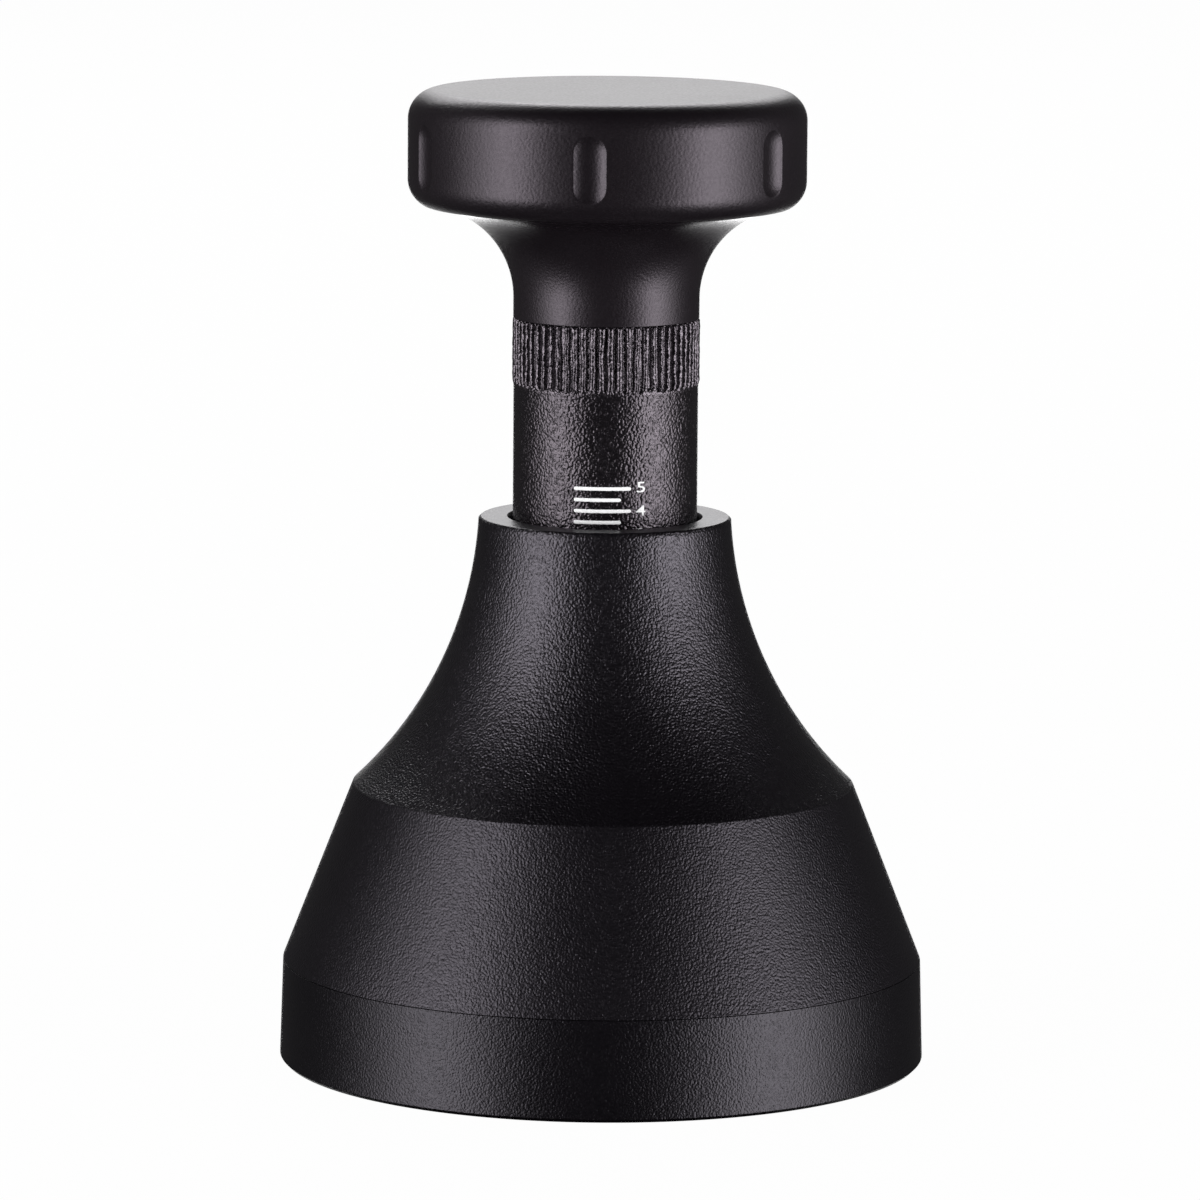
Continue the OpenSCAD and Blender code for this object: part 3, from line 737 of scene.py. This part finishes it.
def makeNut(s):
    outer, low, high = extent("thread_nut")

    def innerRidge(radius, height, angle):
        if radius > s["root"] + 0.1:
            return radius
        return s["core"] + (s["root"] - s["core"]) * ridgeShare(height, angle, s["lead"], 0.75, 0.45)

    corners = [(s["root"] + 0.3, low), (outer, low, 0.25), (outer, low + s["flangeT"], 0.25),
               (s["bodyR"], low + s["flangeT"], 0.15), (s["bodyR"], high, 0.4), (s["root"] + 0.3, high)]
    corners += [(s["root"], high + (low - high) * i / s["rows"]) for i in range(s["rows"] + 1)]
    nut = turn("threadNut", roundOff(corners), evenAngles(240), innerRidge)
    start, end = low - s["drillPast"], low + s["flangeT"] + s["drillPast"]
    holeR = s["screwR"] + s["holePlay"]
    outline = roundOff([(0, start), (s["headR"] + s["headPlay"], start), (holeR, low + s["sinkDeep"]),
                        (holeR, end), (0, end)])
    drill = turn("drill", outline, evenAngles(48), places=screwPlaces(s))
    cut = nut.modifiers.new("screw holes", "BOOLEAN")
    cut.operation = "DIFFERENCE"
    cut.solver = "EXACT"
    cut.object = drill
    drilled = bakedMesh(nut)
    nut.modifiers.clear()
    nut.data = drilled
    bpy.data.objects.remove(drill)
    fitPiece(nut, "housing", "brass", brass, "thread_nut")


def screwPlaces(s):
    return [(s["screwRing"] * math.cos(math.radians(a)), s["screwRing"] * math.sin(math.radians(a)))
            for a in (45, 135, 225, 315)]


def hexRadius(radius, angle):
    # the outline of a hexagon whose corners are at the radius
    return radius * math.cos(math.radians(30)) / math.cos(math.radians(angle % 60 - 30))


def makeNutScrews(s):
    low, high = extent("nut_screws")[1:]
    neck = low + s["headR"] - s["screwR"]

    def socketAndThread(radius, height, angle):
        if abs(radius - s["hexR"]) < 0.01 and height < neck:
            return hexRadius(radius, angle)
        if radius > s["screwR"] - 0.02 and height > neck + 0.3 and height < high - 0.2:
            along = (height - s["pitch"] * angle / 360) / s["pitch"] % 1
            return radius - s["threadCut"] * abs(1 - 2 * along)
        return radius

    rows = int((high - neck) / 0.08)
    outline = [(0, low + s["hexDepth"]), (s["hexR"], low + s["hexDepth"]), (s["hexR"], low),
               (s["headR"] - 0.05, low), (s["headR"], low + 0.05), (s["screwR"], neck)]
    outline += [(s["screwR"], neck + (high - 0.15 - neck) * i / rows) for i in range(1, rows + 1)]
    outline += [(s["screwR"] - 0.2, high), (0, high)]
    screws = turn("nutScrews", outline, evenAngles(48), socketAndThread, screwPlaces(s))
    fitPiece(screws, "housing", "steel", steel, "nut_screws")


postSizes = {"studR": 4.0, "bossTop": 9.0, "collarTop": 11.62, "hexR": 6.6, "edge": 0.15, "bodyR": 5.3,
             "pinR": 3.4, "tip": 0.8, "pitch": 1.0, "rows": 60}


def studThread(radius, pitch, low, high):
    # a fine thread cut into a stud between two heights
    def cut(r, height, angle):
        if abs(r - radius) > 0.01 or height < low or height > high:
            return r
        return r - 0.3 * pitch * (1 + math.cos(2 * math.pi * (height / pitch - angle / 360)))
    return cut


def makePost(s):
    low, high = extent("guide_post")[1:]
    seatZ = extent("spring_seat")[1]
    thread = studThread(s["studR"], s["pitch"], low + 0.5, s["bossTop"] - 0.8)

    def reshape(radius, height, angle):
        if radius > s["bodyR"] + 0.5:
            return hexRadius(radius, angle)
        return thread(radius, height, angle)

    rise = (s["bossTop"] - low - 0.5) / s["rows"]
    corners = [(0, low), (s["studR"] - 0.4, low), (s["studR"], low + 0.4)]
    corners += [(s["studR"], low + 0.4 + rise * i) for i in range(1, s["rows"] + 1)]
    corners += [(s["hexR"] - s["edge"], s["bossTop"] + fit), (s["hexR"], s["bossTop"] + s["edge"]),
                (s["hexR"], s["collarTop"] - s["edge"]), (s["hexR"] - s["edge"], s["collarTop"]),
                (s["bodyR"], s["collarTop"], 0.2), (s["bodyR"], seatZ, 0.25), (s["pinR"], seatZ, 0.1),
                (s["pinR"], high - s["tip"], 0.4), (s["pinR"] - s["tip"], high, 0.3), (0, high)]
    post = turn("guidePost", roundOff(corners), evenAngles(144), reshape)
    fitPiece(post, "housing", "steel", steel, "guide_post")


springSizes = {"wire": 1.6, "turns": 13, "headTurns": 4, "sides": 20, "steps": 48, "ground": 0.02,
               "clear": 0.1}


def makeSpring(s):
    # a round wire with one closed turn at each end, ground flat where it meets its seats
    outer, low, high = extent("main_spring")
    half = s["wire"] / 2
    openRise = (high - low - 3 * s["wire"]) / (s["turns"] - 2)

    def level(t):
        rise = min(t, 1) * s["wire"] + max(0, min(t, s["turns"] - 1) - 1) * openRise
        return low + half + rise + max(0, t - s["turns"] + 1) * s["wire"]

    def coil(name, first, last):
        vertices, faces = [], []
        rows = (last - first) * s["steps"]
        for i in range(rows + 1):
            t = first + i / s["steps"]
            a = 2 * math.pi * t
            for k in range(s["sides"]):
                b = 2 * math.pi * k / s["sides"]
                r = outer - half + half * math.cos(b)
                z = level(t) + half * 0.97 * math.sin(b)
                z = min(high - s["ground"], max(low + s["ground"], z))
                vertices.append((r * math.cos(a) * mm, r * math.sin(a) * mm, z * mm))
        for i in range(rows):
            for k in range(s["sides"]):
                n = (k + 1) % s["sides"]
                a = s["sides"] * i
                b = a + s["sides"]
                faces.append((a + k, b + k, b + n, a + n))
        end = s["sides"] * rows
        faces += [tuple(range(s["sides"])), tuple(range(end + s["sides"] - 1, end - 1, -1))]
        return fitPiece(makePiece(name, vertices, faces), None, "spring_steel", springSteel, "main_spring")

    # the setting works the lower turns and the press the upper ones, so they are two pieces
    split = s["turns"] - s["headTurns"]
    foot = coil("mainSpring", 0, split)
    head = coil("springHead", split, s["turns"])
    join = level(split)
    clear = half + s["clear"]
    (join - clear) * mm
    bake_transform(foot)
    (join + clear) * mm
    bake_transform(head)


stopRingSizes = {"inner": 6.45, "outer": 9.2, "start": 200, "sweep": 320, "steps": 180, "edge": 0.2}


def makeStopRing(s):
    low, high = extent("stop_ring")[1:]
    angles = [s["start"] + s["sweep"] * i / s["steps"] for i in range(s["steps"] + 1)]
    outline = roundOff([(s["inner"], low, s["edge"]), (s["outer"], low, s["edge"]),
                        (s["outer"], high, s["edge"]), (s["inner"], high, s["edge"])])
    ring = turn("stopRing", outline, angles, whole=False)
    fitPiece(ring, "setting_sleeve", "spring_steel", springSteel, "stop_ring")


capSizes = {"tipR": 3.5, "tip": 1.8, "flange": 1.2}


def makeSpringCap(s):
    outer, low, high = extent("spring_cap")
    outline = roundOff([(0, low), (s["tipR"] - 0.6, low, 0.2), (s["tipR"], low + 0.6, 0.2),
                        (s["tipR"], low + s["tip"]), (outer, low + s["tip"], 0.15),
                        (outer, high, 0.15), (0, high)])
    fitPiece(turn("springCap", outline, evenAngles(144)), "pressed_cap", "acetal", acetal, "spring_cap")


plungerSizes = {"flange": 2.4, "rodR": 4.0, "rodTop": 80.0, "studR": 3.0, "studEdge": 0.4, "pitch": 1.0,
                "rows": 50}


def makePlunger(s):
    outer, low, high = extent("plunger")
    start = s["rodTop"]
    rise = (high - s["studEdge"] - start) / s["rows"]
    corners = [(0, low), (outer, low, 0.25), (outer, low + s["flange"], 0.25),
               (s["rodR"], low + s["flange"], 0.15), (s["rodR"], start, 0.2)]
    corners += [(s["studR"], start + rise * i) for i in range(s["rows"] + 1)]
    corners += [(s["studR"] - s["studEdge"], high), (0, high)]
    cut = studThread(s["studR"], s["pitch"], start + 0.6, high - 0.5)
    plunger = turn("plungerRod", roundOff(corners), evenAngles(144), cut)
    fitPiece(plunger, "palm_knob", "steel", steel, "plunger")


makePlainRings(plainRings)
makeRoundSeals(roundSeals)
makeNut(nutSizes)
makeNutScrews(nutSizes)
makePost(postSizes)
makeSpring(springSizes)
makeStopRing(stopRingSizes)
makeSpringCap(capSizes)
makePlunger(plungerSizes)
print("tamper: inner pieces made")


stageSizes = {"floorHalf": 3000.0, "shadowShare": 0.02, "ambient": 0.15, "aimZ": 45.0, "cards": 72,
              "cardsR": 1700.0, "cardsHigh": 1900.0, "greyFrom": 100.0, "greyLevel": 0.045,
              "bands": ((-1500, 0.3, 25), (-1030, 1.0, 18), (-540, 2.6, 10), (0, 1.0, 9))}


def viewerOrReflection(tree):
    rays = [addNode(tree, "ShaderNodeLightPath", output=kind)
            for kind in ("Is Camera Ray", "Is Glossy Ray", "Is Transmission Ray")]
    return rays[0] + rays[1] + rays[2]


def whiteForViewer(name, share):
    # pale matt paper that the viewer and reflections see as white, keeping a share of its shading
    material, tree = newMaterial(name)
    paper = addNode(tree, "ShaderNodeBsdfDiffuse", None, {"Color": (0.8, 0.8, 0.8, 1)})
    glow = addNode(tree, "ShaderNodeEmission", None, {"Color": (1, 1, 1, 1), "Strength": 1.0})
    factor = viewerOrReflection(tree) * (1 - share)
    shader = addNode(tree, "ShaderNodeMixShader", None, {0: factor, 1: paper, 2: glow})
    return finishMaterial(material, shader)


def makeFloor(s):
    half = s["floorHalf"] * mm
    floor = makePiece("floor", [(-half, -half, 0), (half, -half, 0), (half, half, 0), (-half, half, 0)],
                      [(0, 1, 2, 3)])
    floor.location.z = startBox[0].z - 0.00002
    floor.data.materials.append(whiteForViewer("pale floor", s["shadowShare"]))
    floor.visible_glossy = False
    floor.visible_shadow = False


def makeWorld(s):
    world = bpy.data.worlds.new("studio")
    bpy.context.scene.world = world
    world.use_nodes = True
    world.cycles.sampling_method = "NONE"
    tree = world.node_tree
    tree.nodes.clear()
    room = addNode(tree, "ShaderNodeBackground", None, {"Color": (1, 1, 1, 1), "Strength": s["ambient"]})
    white = addNode(tree, "ShaderNodeBackground", None, {"Color": (1, 1, 1, 1), "Strength": 1.0})
    shader = addNode(tree, "ShaderNodeMixShader", None, {0: viewerOrReflection(tree), 1: room, 2: white})
    addNode(tree, "ShaderNodeOutputWorld", None, {"Surface": shader})


def makeCards(s):
    # cards round the stage, seen only in reflections: black in front, grey at the sides and, straight
    # behind, bands as bright as the paper there looks: (lower edge, brightness, degrees to each side)
    lows = [band[0] * mm for band in s["bands"]] + [s["cardsHigh"] * mm]
    levels = sorted({band[1] for band in s["bands"]} | {0.0, s["greyLevel"]})
    radius = s["cardsR"] * mm
    vertices = [(0, 0, lows[0]), (0, 0, lows[-1])]
    faces, shades = [], []
    count = s["cards"]
    rows = len(lows)
    for i in range(count):
        a = math.radians(360 * i / count - 90)
        vertices += [(radius * math.cos(a), radius * math.sin(a), z) for z in lows]
    for i in range(count):
        here, following = 2 + rows * i, 2 + rows * ((i + 1) % count)
        faces += [(0, here, following), (1, here + rows - 1, following + rows - 1)]
        shades += [0.0, 0.0]
        fromBack = abs(360 * (i + 0.5) / count - 180)
        for k, (low, level, half) in enumerate(s["bands"]):
            if fromBack > half:
                level = s["greyLevel"] if fromBack < 180 - s["greyFrom"] else 0.0
            faces.append((here + k, following + k, following + k + 1, here + k + 1))
            shades.append(level)
    cards = makePiece("reflectionCards", vertices, faces)
    for level in levels:
        material, tree = newMaterial("card")
        glow = addNode(tree, "ShaderNodeEmission", None, {"Color": (1, 1, 1, 1), "Strength": level})
        cards.data.materials.append(finishMaterial(material, glow))
    for polygon, level in zip(cards.data.polygons, shades):
        polygon.material_index = levels.index(level)
    cards.visible_camera = False
    cards.visible_diffuse = False
    cards.visible_shadow = False
    cards.visible_transmission = False


# lamps stand at an angle round the axis from the front and up from the floor; level is the brightness
lampSizes = {
    "left": {"around": -64, "up": 4, "away": 1200, "wide": 1100, "tall": 1460, "level": 2.2},
    "left core": {"around": -59, "up": 4, "away": 1190, "wide": 440, "tall": 1460, "level": 4.9},
    "right": {"around": 66, "up": -5, "away": 1200, "wide": 1150, "tall": 1300, "level": 2.4},
    "right core": {"around": 62, "up": -5, "away": 1190, "wide": 460, "tall": 1300, "level": 5.4},
    "back": {"around": 181, "up": 22, "away": 1200, "wide": 620, "tall": 800, "level": 0.45},
    "back high": {"around": 185, "up": 34, "away": 1150, "wide": 900, "tall": 420, "level": 3.1},
    "rim": {"around": 198, "up": 40, "away": 1200, "wide": 530, "tall": 320, "level": 1.7},
}


def makeLamps(lamps, aim):
    for name, s in lamps.items():
        light = bpy.data.lights.new(name + " softbox", "AREA")
        light.shape = "RECTANGLE"
        light.size = s["wide"] * mm
        light.size_y = s["tall"] * mm
        light.energy = s["level"] * math.pi * light.size * light.size_y
        lamp = bpy.data.objects.new(name + " softbox", light)
        bpy.context.scene.collection.objects.link(lamp)
        around, up = math.radians(s["around"]), math.radians(s["up"])
        out = Vector((math.sin(around) * math.cos(up), -math.cos(around) * math.cos(up), math.sin(up)))
        lamp.location = aim + out * s["away"] * mm
        lamp.rotation_euler = (-out).to_track_quat("-Z", "Y").to_euler()
        lamp.visible_camera = False


cameraSizes = {"x": -0.38, "y": -670.6, "z": 143.35, "pitch": 8.636, "roll": 0.414, "lens": 226.98,
               "sensor": 36}


def makeCamera(s):
    data = bpy.data.cameras.new("camera")
    data.lens = s["lens"]
    data.sensor_width = s["sensor"]
    data.clip_start = 0.01
    data.clip_end = 20
    camera = bpy.data.objects.new("camera", data)
    bpy.context.scene.collection.objects.link(camera)
    pitched = Matrix.Rotation(math.radians(90 - s["pitch"]), 4, "X")
    rolled = Matrix.Rotation(math.radians(s["roll"]), 4, "Z")
    camera.matrix_world = Matrix.Translation(Vector((s["x"], s["y"], s["z"])) * mm) @ pitched @ rolled
    bpy.context.scene.camera = camera


makeFloor(stageSizes)
makeWorld(stageSizes)
makeCards(stageSizes)
makeLamps(lampSizes, Vector((0, 0, stageSizes["aimZ"] * mm)))
makeCamera(cameraSizes)
bpy.context.scene.view_settings.view_transform = "Standard"
print("tamper: stage, light and camera set")
